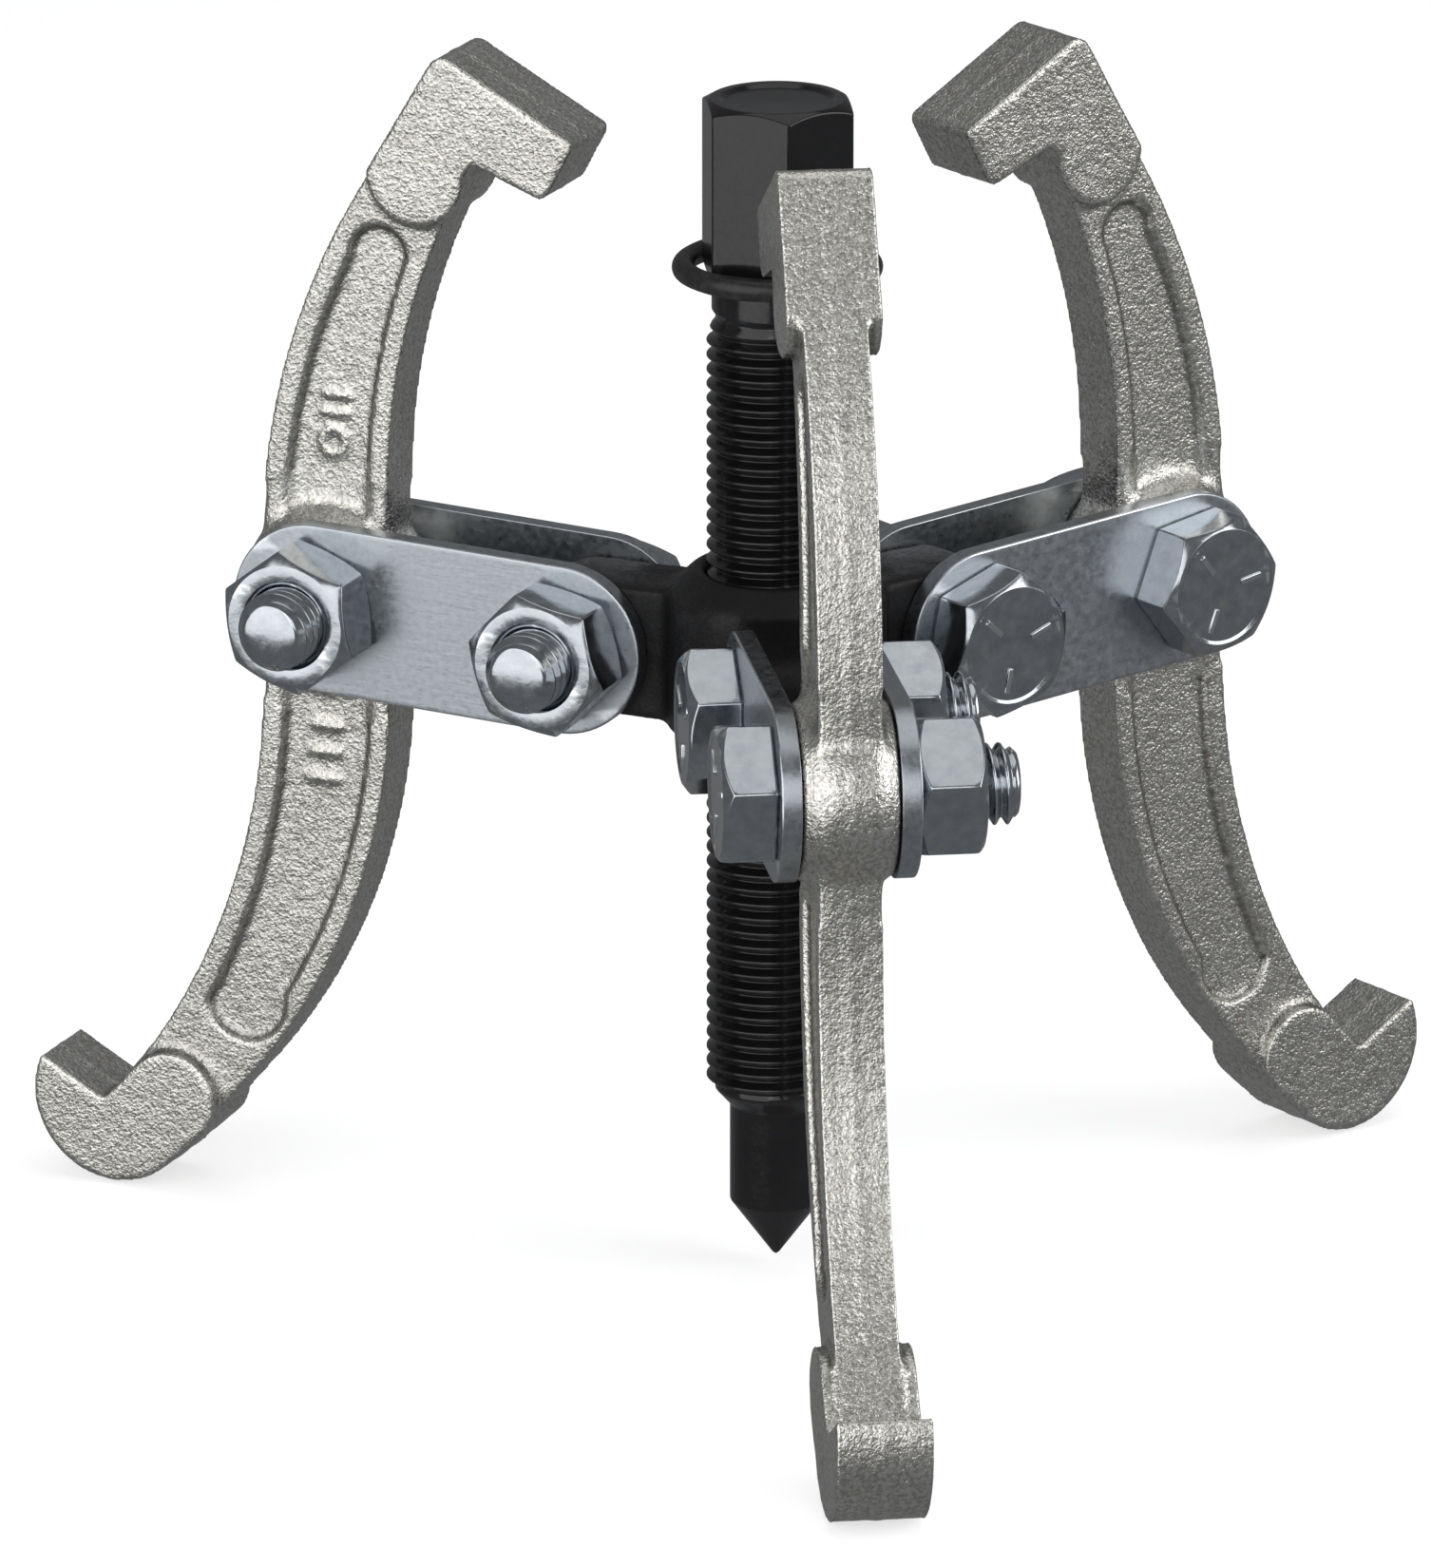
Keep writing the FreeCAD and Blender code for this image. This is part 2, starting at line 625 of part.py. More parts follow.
def make_link_plate(where, side):
    """One flat link with two holes and round ends; side is nut or head."""
    body = new_body(f"link_{where}_{side}_side")
    length, half = size("link_length"), size("link_width") / 2
    strip = sketch_on(body, "StripOutline", "XY_Plane")
    draw(strip, [line((0, -half), (length, -half)), arc((length, 0), half, -90, 90),
                 line((length, half), (0, half)), arc((0, 0), half, 90, 270)])
    bolt = size("bolt_diameter") / 2 + size("plate_play")
    for across in (0, length):
        strip.addGeometry(Part.Circle(Vector(across, 0, 0), Vector(0, 0, 1), bolt), False)
    document.recompute()
    pad(body, strip, "Strip", "<link_thickness>")
    edge = size("link_gap") / 2
    start = edge if side == "nut" else -edge - size("link_thickness")
    tilt = Rotation(Vector(0, 1, 0), -size("link_rise_angle")).multiply(LAID_SIDEWAYS)
    place(body, JAW_ANGLES[where], size("yoke_pivot_radius"), size("yoke_height"), start, tilt)
    return body


def make_bolt(where, joint):
    """An M8 bolt: hexagon head below Z = 0, shank above it."""
    body = new_body(f"{joint}_bolt_{where}")
    radius, length = size("bolt_diameter") / 2, size("bolt_length")
    chamfer, head = size("bolt_tip_chamfer"), size("head_height")
    turned = sketch_on(body, "ShankProfile", "XZ_Plane")
    draw(turned, polygon([(0, -1), (radius, -1), (radius, length - chamfer),
                          (radius - chamfer, length), (0, length)]))
    document.recompute()
    revolve(body, turned, "Shank")
    six = sketch_on(body, "HeadOutline", "XY_Plane")
    draw(six, polygon(hexagon(size("head_flats"))))
    bind(six, "AttachmentOffset.Base.z", "-<head_height>")
    document.recompute()
    pad(body, six, "Head", "<head_height>")
    cone_corners(body, "HeadCone", size("head_flats"), -head, False)
    put_fastener(body, where, joint, -(size("link_gap") / 2 + size("link_thickness")))
    return body


def make_nut(where, joint):
    """An M8 nut with both ends coned, standing on Z = 0."""
    body = new_body(f"{joint}_nut_{where}")
    six = sketch_on(body, "NutOutline", "XY_Plane")
    draw(six, polygon(hexagon(size("head_flats"))))
    bore = size("bolt_diameter") / 2 + size("plate_play")
    six.addGeometry(Part.Circle(Vector(0, 0, 0), Vector(0, 0, 1), bore), False)
    document.recompute()
    pad(body, six, "Nut", "<nut_height>")
    cone_corners(body, "OuterCone", size("head_flats"), size("nut_height"), True)
    cone_corners(body, "InnerCone", size("head_flats"), 0.0, False)
    put_fastener(body, where, joint, size("link_gap") / 2 + size("link_thickness"))
    return body


# How far each hexagon is turned on its bolt, as tightened by hand.
FASTENER_TURNS = {
    ("yoke", "front"): 0.0, ("yoke", "right"): 12.0, ("yoke", "left"): 17.0,
    ("jaw", "front"): 14.0, ("jaw", "right"): 22.0, ("jaw", "left"): 8.0,
}


def put_fastener(body, where, joint, side):
    """Lay a bolt or nut across the yoke's or the jaw's pivot."""
    radius, height = jaw_pivot()
    if joint == "yoke":
        radius, height = size("yoke_pivot_radius"), size("yoke_height")
    spin = Rotation(Vector(0, 0, 1), FASTENER_TURNS[(joint, where)])
    place(body, JAW_ANGLES[where], radius, height, side, LAID_SIDEWAYS.multiply(spin))


def make_all():
    """Every piece of the puller."""
    pieces = [make_yoke(), make_forcing_screw(), make_rubber_ring()]
    for where in JAW_ANGLES:
        pieces.append(make_jaw(where))
        pieces += [make_link_plate(where, side) for side in ("nut", "head")]
        for joint in ("yoke", "jaw"):
            pieces += [make_bolt(where, joint), make_nut(where, joint)]
    return pieces


def check(pieces):
    """Stop if any feature failed or any piece isn't one closed solid."""
    document.recompute()
    for thing in document.Objects:
        if "Invalid" in thing.State or "Error" in thing.State:
            raise ValueError(f"{thing.Label} failed: {thing.State}")
    for piece in pieces:
        shape = piece.Shape
        if shape.isNull() or not shape.isValid() or len(shape.Solids) != 1:
            raise ValueError(f"{piece.Label} isn't one valid solid")


def write(pieces):
    """One STEP file for each piece, named after it."""
    os.makedirs("parts", exist_ok=True)
    for piece in pieces:
        piece.Shape.exportStep(f"parts/{piece.Label}.step")
        print(f"{piece.Label:24s} {piece.Shape.Volume:9.1f} mm3")


parts_made = make_all()
check(parts_made)
write(parts_made)
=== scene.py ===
# %% [markdown]
# # A three-jaw gear puller
#
# Three forged jaws hang from a black yoke on pairs of zinc-plated links, and a long screw with a
# hexagon pushes through the middle. Each piece below is a mesh of its own, built where the
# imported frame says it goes, so that the puller still opens, closes and winds when posed.

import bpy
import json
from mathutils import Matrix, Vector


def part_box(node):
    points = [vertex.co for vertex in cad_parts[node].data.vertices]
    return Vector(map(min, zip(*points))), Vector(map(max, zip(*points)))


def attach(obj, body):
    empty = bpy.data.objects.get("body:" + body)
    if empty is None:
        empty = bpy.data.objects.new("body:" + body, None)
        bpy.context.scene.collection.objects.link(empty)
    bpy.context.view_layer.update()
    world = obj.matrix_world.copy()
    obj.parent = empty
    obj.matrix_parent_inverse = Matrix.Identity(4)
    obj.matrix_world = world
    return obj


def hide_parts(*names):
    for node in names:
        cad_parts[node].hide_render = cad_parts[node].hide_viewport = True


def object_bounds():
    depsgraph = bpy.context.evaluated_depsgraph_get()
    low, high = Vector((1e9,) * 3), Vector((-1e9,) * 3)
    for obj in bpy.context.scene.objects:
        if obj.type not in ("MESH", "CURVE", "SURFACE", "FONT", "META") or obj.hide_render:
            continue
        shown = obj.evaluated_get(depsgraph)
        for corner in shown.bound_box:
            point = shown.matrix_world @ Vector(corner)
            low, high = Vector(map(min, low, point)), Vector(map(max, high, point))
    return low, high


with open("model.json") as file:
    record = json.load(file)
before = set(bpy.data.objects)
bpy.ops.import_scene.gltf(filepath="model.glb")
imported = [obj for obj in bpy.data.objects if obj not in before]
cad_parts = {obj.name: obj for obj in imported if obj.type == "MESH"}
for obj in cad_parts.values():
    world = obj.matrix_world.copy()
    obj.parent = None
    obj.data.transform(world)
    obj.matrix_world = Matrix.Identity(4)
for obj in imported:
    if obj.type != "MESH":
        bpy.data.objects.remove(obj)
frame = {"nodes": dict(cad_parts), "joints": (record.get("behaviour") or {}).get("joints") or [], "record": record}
cad_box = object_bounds()
print("CAD box, mm:", [round(1000 * (high - low), 1) for low, high in zip(*cad_box)])

# %% [markdown]
# ## Where things stand
#
# The record's joints give the pivots. The three jaws are the same forging turned about the
# screw, so one local frame serves them all: X points away from the screw, Y points sideways
# towards the nuts and Z points up. Pieces are drawn in millimetres and shrunk to metres once.

# %% Pivots and local frames
import json
import math

import bmesh
import bpy
import numpy as np
from mathutils import Matrix, Vector, noise
from mathutils.geometry import tessellate_polygon

JAW_ANGLES = {"front": -90.0, "right": 30.0, "left": 150.0}
METRES = Matrix.Scale(0.001, 4)
pivots = {joint["name"]: Vector(joint["pos_m"]) for joint in frame["joints"] if joint.get("pos_m")}


def standing_at(where, joint="jaw_swing"):
    """The frame of a jaw's joint: X outwards, Y towards the nuts, Z up."""
    turn = Matrix.Rotation(math.radians(JAW_ANGLES[where]), 4, "Z")
    return Matrix.Translation(pivots[f"{joint}_{where}"]) @ turn


link_direction = pivots["jaw_swing_front"] - pivots["link_lift_front"]
LINK_LENGTH = 1000 * link_direction.length
LINK_RISE = math.degrees(math.asin(link_direction.z / link_direction.length))
print(f"links {LINK_LENGTH:.1f} mm long, rising {LINK_RISE:.1f} degrees")

# %% [markdown]
# ## Two ways to make a mesh
#
# Turned and pressed pieces are built from rings of points, row after row, because that gives
# exact chamfers and threads and an even grid of faces. The last point of each row lies on the
# first, and welding them closes the skin. A row at zero radius closes to a single point. Forged
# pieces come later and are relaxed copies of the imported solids.

# %% Ring meshes
def weld(bm, distance=1e-6):
    """Merge points that coincide and drop the faces that vanish."""
    bmesh.ops.remove_doubles(bm, verts=bm.verts, dist=distance)
    bmesh.ops.dissolve_degenerate(bm, edges=bm.edges, dist=distance)
    bmesh.ops.recalc_face_normals(bm, faces=bm.faces)


def skin(bm, rows):
    """Faces between rows of points given in millimetres."""
    grid = [[bm.verts.new(point) for point in row] for row in rows]
    for lower, upper in zip(grid, grid[1:]):
        for i in range(len(lower) - 1):
            bm.faces.new((lower[i], lower[i + 1], upper[i + 1], upper[i]))


def even_out(bm, longest):
    """Split long edges, so that marks of wear don't stretch along thin triangles."""
    for _ in range(6):
        long_edges = [edge for edge in bm.edges if edge.calc_length() > longest]
        if not long_edges:
            break
        bmesh.ops.subdivide_edges(bm, edges=long_edges, cuts=1)
        bmesh.ops.triangulate(bm, faces=[face for face in bm.faces if len(face.verts) > 4])


def finish_mesh(bm, name, longest=None):
    """A welded, smooth-shaded mesh in metres."""
    weld(bm, 1e-4)
    if longest:
        even_out(bm, longest)
    bm.transform(METRES)
    mesh = bpy.data.meshes.new(name)
    bm.to_mesh(mesh)
    bm.free()
    mesh.shade_smooth()
    return mesh


def soften(points, radii, steps=3):
    """Round the corners of a run of (radius, height) points, each by its own radius."""
    run = [points[0]]
    for before, here, after, radius in zip(points, points[1:], points[2:], radii):
        back = Vector(before) - Vector(here)
        on = Vector(after) - Vector(here)
        half = 0.5 * back.angle(on)
        cut = min(radius / math.tan(half), 0.45 * back.length, 0.45 * on.length)
        start, end = Vector(here) + back.normalized() * cut, Vector(here) + on.normalized() * cut
        for k in range(steps + 1):
            t = k / steps
            run.append(start * (1 - t) ** 2 + Vector(here) * (2 * t * (1 - t)) + end * t**2)
    return [*run, points[-1]]


def hexagon_columns(flats, corner_round=0.35, side_steps=12, corner_steps=4):
    """(radius, angle) of points round a hexagon with rounded corners, the first one repeated."""
    points = []
    for i in range(6):
        middle_angle = math.radians(30 + 60 * i)
        reach = (flats / 2 - corner_round) / math.cos(math.radians(30))
        middle = Vector((math.cos(middle_angle), math.sin(middle_angle))) * reach
        for k in range(corner_steps + 1):
            angle = middle_angle + math.radians(-30 + 60 * k / corner_steps)
            points.append(middle + Vector((math.cos(angle), math.sin(angle))) * corner_round)
        next_angle = middle_angle + math.radians(60)
        next_middle = Vector((math.cos(next_angle), math.sin(next_angle))) * reach
        side = middle_angle + math.radians(30)
        target = next_middle + Vector((math.cos(side), math.sin(side))) * corner_round
        start = points[-1]
        points += [start.lerp(target, k / side_steps) for k in range(1, side_steps)]
    first = math.atan2(points[0].y, points[0].x)
    columns = [(p.length, first + (math.atan2(p.y, p.x) - first) % (2 * math.pi)) for p in points]
    return [*columns, (columns[0][0], first + 2 * math.pi)]


def turned_rows(columns, profile, longest=1.2):
    """Rows of points from a profile of (radius, height) that may differ from column to column."""
    runs = [[Vector(point) for point in profile(radius)] for radius, _ in columns]
    rows = []
    for i in range(len(runs[0])):
        following = min(i + 1, len(runs[0]) - 1)
        pieces = max(1, math.ceil(max((run[following] - run[i]).length for run in runs) / longest))
        for k in range(pieces):
            row = []
            for run, (_, angle) in zip(runs, columns):
                spot = run[i].lerp(run[following], k / pieces)
                row.append(Vector((spot.x * math.cos(angle), spot.x * math.sin(angle), spot.y)))
            rows.append(row)
    return rows


print("ring helpers ready,", len(hexagon_columns(13)), "columns round a hexagon")

# %% [markdown]
# ## A thread by formula
#
# A screw thread could be a Screw modifier or a swept triangle, but both leave the ends to be
# mended. Here every row of points climbs by one pitch per turn, so the last point of a row
# lands on the row one pitch higher. Limits at both ends make the thread run out.

# %% Thread rows
# Share of a pitch, and share of the depth below the crest: root, flank, crest, flank, root.
THREAD_SHAPE = [(0.0, 1.0), (0.09, 0.94), (0.40, 0.08), (0.46, 0.0)]
THREAD_SHAPE += [(0.57, 0.0), (0.63, 0.08), (0.93, 0.94)]


def thread_rows(columns, pitch, depth, crest, bottom, top, limit):
    """Rows of a right-hand thread between two heights; limit(height) holds the radius down."""
    first = columns[0][1]
    rows = []
    for turn in range(-1, math.ceil((top - bottom) / pitch) + 1):
        for share, deep in THREAD_SHAPE:
            row = []
            for _, angle in columns:
                rise = pitch * (turn + share + (angle - first) / (2 * math.pi))
                height = min(max(bottom + rise, bottom), top)
                radius = min(crest - depth * deep, limit(height))
                if height in (bottom, top):
                    radius = limit(height)
                row.append(Vector((radius * math.cos(angle), radius * math.sin(angle), height)))
            rows.append(row)
    return rows


print("thread rows ready")

# %% [markdown]
# ## Putting a piece in its place
#
# Every piece says what it rides on, which CAD node it stands for and which finish it takes.
# The flat faces keep straight reflections because a modifier weights their normals by area.

# %% Place helper
BODIES = frame["record"]["behaviour"]["bodies"]
NODE_BODY = {node: body for body, nodes in BODIES.items() for node in nodes}
NODE_SLOT = {part["node"]: part["material_slot"] for part in frame["record"]["subparts"]}
finishes = {}


def place(name, mesh, node, matrix=Matrix(), crisp=True):
    """Stand a mesh where it belongs, in place of a CAD node."""
    piece = bpy.data.objects.new(name, mesh)
    bpy.context.scene.collection.objects.link(piece)
    piece.matrix_world = matrix
    if crisp:
        weighted = piece.modifiers.new("Area-weighted normals", "WEIGHTED_NORMAL")
        weighted.keep_sharp = True
    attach(piece, NODE_BODY[node])
    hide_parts(node)
    if not mesh.materials:
        mesh.materials.append(finishes[NODE_SLOT[node]])
    return piece


print(len(NODE_BODY), "nodes to replace")

# %% [markdown]
# ## Finishes
#
# Each finish is a node tree in the object's own space: a base colour broken up by noise, a
# roughness that wanders, fine bumps, lighter edges (rubbed plating on the jaws and the black, a
# painted highlight on the zinc) and, on the jaws, painted shade that darkens corners and hollows.
# Pointiness tells an edge from a hollow, and needs meshes whose faces are all small, which is why long edges are
# split above.

# %% Node helpers
def add(tree, kind, inputs=None, **settings):
    """A shader node with its settings, and its inputs given values or linked."""
    made = tree.nodes.new(kind)
    for key, value in settings.items():
        setattr(made, key, value)
    for key, value in (inputs or {}).items():
        if isinstance(value, bpy.types.NodeSocket):
            tree.links.new(value, made.inputs[key])
        else:
            made.inputs[key].default_value = value
    return made


def grain(tree, place_in, size_mm, detail=2.0, rough=0.5):
    """Noise whose features are about size_mm across."""
    settings = {"Vector": place_in, "Scale": 1000 / size_mm, "Detail": detail, "Roughness": rough}
    return add(tree, "ShaderNodeTexNoise", settings).outputs["Fac"]


def spread(tree, value, low, high, new_low, new_high):
    """Map one range of a value to another."""
    keys = {"Value": value, "From Min": low, "From Max": high}
    keys |= {"To Min": new_low, "To Max": new_high}
    return add(tree, "ShaderNodeMapRange", keys).outputs["Result"]


def blend_colour(tree, share, one, other, kind="MIX"):
    """Mix two colours by a share."""
    mixer = tree.nodes.new("ShaderNodeMix")
    mixer.data_type = "RGBA"
    mixer.blend_type = kind
    for index, value in ((0, share), (6, one), (7, other)):
        socket = mixer.inputs[index]
        if isinstance(value, bpy.types.NodeSocket):
            tree.links.new(value, socket)
        else:
            socket.default_value = value if isinstance(value, float) else (*value, 1.0)
    return mixer.outputs[2]


def new_finish(slot_name):
    """An empty material, its tree, its shader and a place in the object that differs per piece."""
    material = bpy.data.materials.new(slot_name)
    material.use_nodes = True
    tree = material.node_tree
    shader = tree.nodes["Principled BSDF"]
    coordinates = add(tree, "ShaderNodeTexCoord").outputs["Object"]
    random = add(tree, "ShaderNodeObjectInfo").outputs["Random"]
    moved = add(tree, "ShaderNodeVectorMath", {0: coordinates, 1: random}, operation="ADD")
    finishes[slot_name] = material
    return tree, shader, moved.outputs["Vector"]


def bump(tree, shader, layers):
    """Stack bumps, each a (height, strength, depth in mm)."""
    normal = None
    for height, strength, depth in layers:
        inputs = {"Height": height, "Strength": strength, "Distance": depth / 1000}
        if normal is not None:
            inputs["Normal"] = normal
        normal = add(tree, "ShaderNodeBump", inputs).outputs["Normal"]
    tree.links.new(normal, shader.inputs["Normal"])


def edge_share(tree, low, high):
    """0 in flats and hollows, 1 on edges."""
    pointed = add(tree, "ShaderNodeNewGeometry").outputs["Pointiness"]
    return spread(tree, pointed, low, high, 0.0, 1.0)


print("node helpers ready")

# %% [markdown]
# ### Shot-blasted jaw
#
# The jaws are forged, blasted and plated, which leaves a warm silver skin of tiny facets that
# sparkle. Three sizes of noise bump the surface: hammered unevenness, blasted pits and facets.

# %% Jaw finish
tree, shader, spot = new_finish("forged_jaw")
coarse, pits = grain(tree, spot, 7.0, 3.0), grain(tree, spot, 0.42, 2.0, 0.6)
facets = grain(tree, spot, 0.24, 1.0)
cloudy = spread(tree, coarse, 0.3, 0.7, 0.0, 1.0)
pitted = spread(tree, pits, 0.36, 0.60, 0.0, 1.0)
tone = blend_colour(tree, cloudy, (0.78, 0.765, 0.715), (0.88, 0.865, 0.815))
speck = blend_colour(tree, pitted, (0.62, 0.61, 0.59), (1.0, 1.0, 1.0))
tone = blend_colour(tree, 1.0, tone, speck, "MULTIPLY")
# Painted shade: hollows and corners are darkened in the colour, where shade would fall.
tone = blend_colour(tree, edge_share(tree, 0.494, 0.462), tone, (0.13, 0.12, 0.105))
tone = blend_colour(tree, edge_share(tree, 0.53, 0.62), tone, (0.86, 0.84, 0.80))
tree.links.new(tone, shader.inputs["Base Color"])
tree.links.new(spread(tree, facets, 0.3, 0.7, 0.22, 0.36), shader.inputs["Roughness"])
shader.inputs["Metallic"].default_value = 1.0
bump(tree, shader, [(coarse, 0.3, 0.25), (pits, 0.95, 0.12), (facets, 0.9, 0.06)])
print("forged_jaw:", len(tree.nodes), "nodes")

# %% [markdown]
# ### Black oxide
#
# The yoke is blackened as forged, matt and slightly uneven. The screw is turned first and oiled
# after blackening, so the same black is smoother, with glossy crests.

# %% Black finishes
for slot_name, low, high, depth, shine, rub in (
    ("black_oxide", 0.36, 0.52, 0.09, 0.3, (0.03, 0.03, 0.031)),
    ("black_oxide_thread", 0.10, 0.20, 0.012, 0.55, (0.02, 0.02, 0.021)),
):
    tree, shader, spot = new_finish(slot_name)
    fine, coarse = grain(tree, spot, 0.5, 3.0), grain(tree, spot, 5.0, 2.0)
    tone = blend_colour(tree, coarse, (0.004, 0.004, 0.0045), (0.012, 0.012, 0.013))
    tone = blend_colour(tree, edge_share(tree, 0.53, 0.62), tone, rub)
    tree.links.new(tone, shader.inputs["Base Color"])
    tree.links.new(spread(tree, fine, 0.3, 0.7, low, high), shader.inputs["Roughness"])
    shader.inputs["Metallic"].default_value = 0.1
    shader.inputs["Specular IOR Level"].default_value = shine
    bump(tree, shader, [(fine, 0.6, depth)])
    print(slot_name, "ready")

# %% [markdown]
# ### Zinc
#
# The links are cut from rolled strip, so a faint lengthwise drag shows under the bluish zinc.
# Bolts and nuts are barrel-plated: glossier, with small dents from knocking together.

# %% Zinc finishes
tree, shader, spot = new_finish("zinc_strip")
lengthwise = {"Vector": spot, "Scale": (0.12, 1.0, 1.0)}
drawn = add(tree, "ShaderNodeMapping", lengthwise).outputs["Vector"]
drag, cloud = grain(tree, drawn, 0.30, 3.0), grain(tree, spot, 0.7, 3.0, 0.6)
cloudy = spread(tree, cloud, 0.3, 0.7, 0.0, 1.0)
tone = blend_colour(tree, cloudy, (0.41, 0.44, 0.47), (0.54, 0.575, 0.61))
# Painted highlight: the rounded edges of the strip are lightened in the colour.
tone = blend_colour(tree, edge_share(tree, 0.515, 0.60), tone, (0.86, 0.89, 0.92))
tree.links.new(tone, shader.inputs["Base Color"])
tree.links.new(spread(tree, cloud, 0.3, 0.7, 0.26, 0.38), shader.inputs["Roughness"])
shader.inputs["Metallic"].default_value = 1.0
bump(tree, shader, [(cloud, 0.35, 0.03), (drag, 0.35, 0.02)])

tree, shader, spot = new_finish("zinc_fastener")
dents = add(tree, "ShaderNodeTexVoronoi", {"Vector": spot, "Scale": 900.0}).outputs["Distance"]
cloud = grain(tree, spot, 1.6, 3.0, 0.6)
cloudy = spread(tree, cloud, 0.3, 0.7, 0.0, 1.0)
tone = blend_colour(tree, cloudy, (0.43, 0.46, 0.49), (0.57, 0.60, 0.63))
# Painted highlight: the edges of heads and nuts are lightened in the colour.
tone = blend_colour(tree, edge_share(tree, 0.53, 0.62), tone, (0.92, 0.94, 0.96))
tree.links.new(tone, shader.inputs["Base Color"])
tree.links.new(spread(tree, cloud, 0.3, 0.7, 0.10, 0.20), shader.inputs["Roughness"])
shader.inputs["Metallic"].default_value = 1.0
bump(tree, shader, [(dents, 0.10, 0.06), (cloud, 0.22, 0.06)])
print("zinc finishes ready")

# %% [markdown]
# ### Rubber
#
# The ring is plain moulded rubber: very dark, soft highlights and a little dust.

# %% Rubber finish
tree, shader, spot = new_finish("rubber")
dust = grain(tree, spot, 0.8, 4.0, 0.6)
dusty = spread(tree, dust, 0.45, 0.75, 0.0, 1.0)
tone = blend_colour(tree, dusty, (0.012, 0.012, 0.012), (0.035, 0.035, 0.034))
tree.links.new(tone, shader.inputs["Base Color"])
tree.links.new(spread(tree, dust, 0.3, 0.7, 0.32, 0.5), shader.inputs["Roughness"])
bump(tree, shader, [(dust, 0.4, 0.04)])
print("rubber ready")

# %% [markdown]
# ## Jaws
#
# A forging has no sharp edge anywhere: metal flows into a die and comes out with rounded rims
# and filled corners. Bevels would need every edge picked by hand, so the exact solid is
# re-covered with an even net of small faces, then relaxed until its edges are as soft as a
# forging's. Anything that is to melt into the surface is added before the net goes on.

# %% Forging helper
def forged_copy(node, stand, voxel, passes, extras=None):
    """A soft-edged copy of a node's mesh, in millimetres in its own frame."""
    mesh = frame["nodes"][node].data.copy()
    mesh.transform(Matrix.Scale(1000, 4) @ stand.inverted())
    bm = bmesh.new()
    bm.from_mesh(mesh)
    weld(bm, 0.002)
    if extras:
        extras(bm)
    bm.to_mesh(mesh)
    bm.free()
    helper = bpy.data.objects.new("forging_helper", mesh)
    bpy.context.scene.collection.objects.link(helper)
    net = helper.modifiers.new("Even net", "REMESH")
    net.mode, net.voxel_size, net.adaptivity = "VOXEL", voxel, 0.0
    relax = helper.modifiers.new("Relax", "SMOOTH")
    relax.factor, relax.iterations = 0.5, passes
    bpy.context.view_layer.update()
    evaluated = helper.evaluated_get(bpy.context.evaluated_depsgraph_get())
    forged = bpy.data.meshes.new_from_object(evaluated)
    bpy.data.objects.remove(helper)
    bpy.data.meshes.remove(mesh)
    forged.materials.clear()
    forged.shade_smooth()
    return forged


def points_and_normals(mesh):
    """A mesh's points and their normals as arrays."""
    points, normals = np.zeros(3 * len(mesh.vertices)), np.zeros(3 * len(mesh.vertices))
    mesh.vertices.foreach_get("co", points)
    mesh.vertex_normals.foreach_get("vector", normals)
    return points.reshape(-1, 3), normals.reshape(-1, 3)


print("forging helpers ready")

# %% [markdown]
# ### Raised marks
#
# Where a maker would stamp a size, the jaws carry neutral marks: a ring, and short bars. Each is
# a run of small balls half sunk in the panel's floor. The net fuses them with the jaw and the
# relaxing melts them into soft beads. Places are (outwards, up) from the jaw's pivot.

# %% Raised marks
PANEL_FLOOR = 2.4
BEAD, BEAD_SINK, BEAD_STEP = 0.42, 0.02, 0.3
RING_MARK, RING_MARK_RADIUS = (-0.6, 16.4), 1.35
BARS_ABOVE = [(-0.8, 19.4, 1.3), (-1.0, 21.3, 1.3)]
BARS_BELOW = [(0.4, -13.6, 1.5), (0.6, -16.4, 1.5), (0.9, -19.2, 1.5)]


def bead_run(bm, path):
    """A raised bead along a path of (outwards, up) points on the panel's floor."""
    for start, end in zip(path, path[1:]):
        steps = max(1, round(math.dist(start, end) / BEAD_STEP))
        for k in range(steps + 1):
            out, up = Vector(start).lerp(Vector(end), k / steps)
            matrix = Matrix.Translation((out, PANEL_FLOOR - BEAD_SINK, up))
            bmesh.ops.create_icosphere(bm, subdivisions=2, radius=BEAD, matrix=matrix)


def raised_marks(bm):
    """A ring and bars on the nut side of a jaw."""
    (out, up), radius = RING_MARK, RING_MARK_RADIUS
    turns = [2 * math.pi * k / 16 for k in range(17)]
    bead_run(bm, [(out + radius * math.cos(a), up + radius * math.sin(a)) for a in turns])
    for out, up, reach in BARS_ABOVE + BARS_BELOW:
        bead_run(bm, [(out - reach, up), (out + reach, up)])


print(1 + len(BARS_ABOVE) + len(BARS_BELOW), "marks on each jaw")

# %% [markdown]
# ### Boss and parting line
#
# Points near the pivot are relaxed many more times than the rest, because the metal flows
# smoothly from beam to boss. Then the die's parting line is raised round the edges. The edges
# step back first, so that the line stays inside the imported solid.

# %% Boss and parting line
BOSS_FACE, BOSS_FACE_KEPT = 4.8, 0.4
BOSS_RIM, BOSS_FOOT, BOSS_PASSES = 7.6, 13.5, 30
PARTING_HEIGHT, PARTING_HALF_WIDTH, SET_BACK = 0.10, 0.9, 0.13
BORE_KEPT, JAW_UNEVEN = 5.5, 0.035


def blend_boss(mesh):
    """Relax round the boss, but keep its flat faces."""
    bm = bmesh.new()
    bm.from_mesh(mesh)
    beside_faces = [v for v in bm.verts if abs(v.co.y) < BOSS_FACE - BOSS_FACE_KEPT]
    near = [v for v in beside_faces if BOSS_RIM < math.hypot(v.co.x, v.co.z) < BOSS_FOOT]
    every_way = {"use_axis_x": True, "use_axis_y": True, "use_axis_z": True}
    for _ in range(BOSS_PASSES):
        bmesh.ops.smooth_vert(bm, verts=near, factor=0.5, **every_way)
    bm.to_mesh(mesh)
    bm.free()


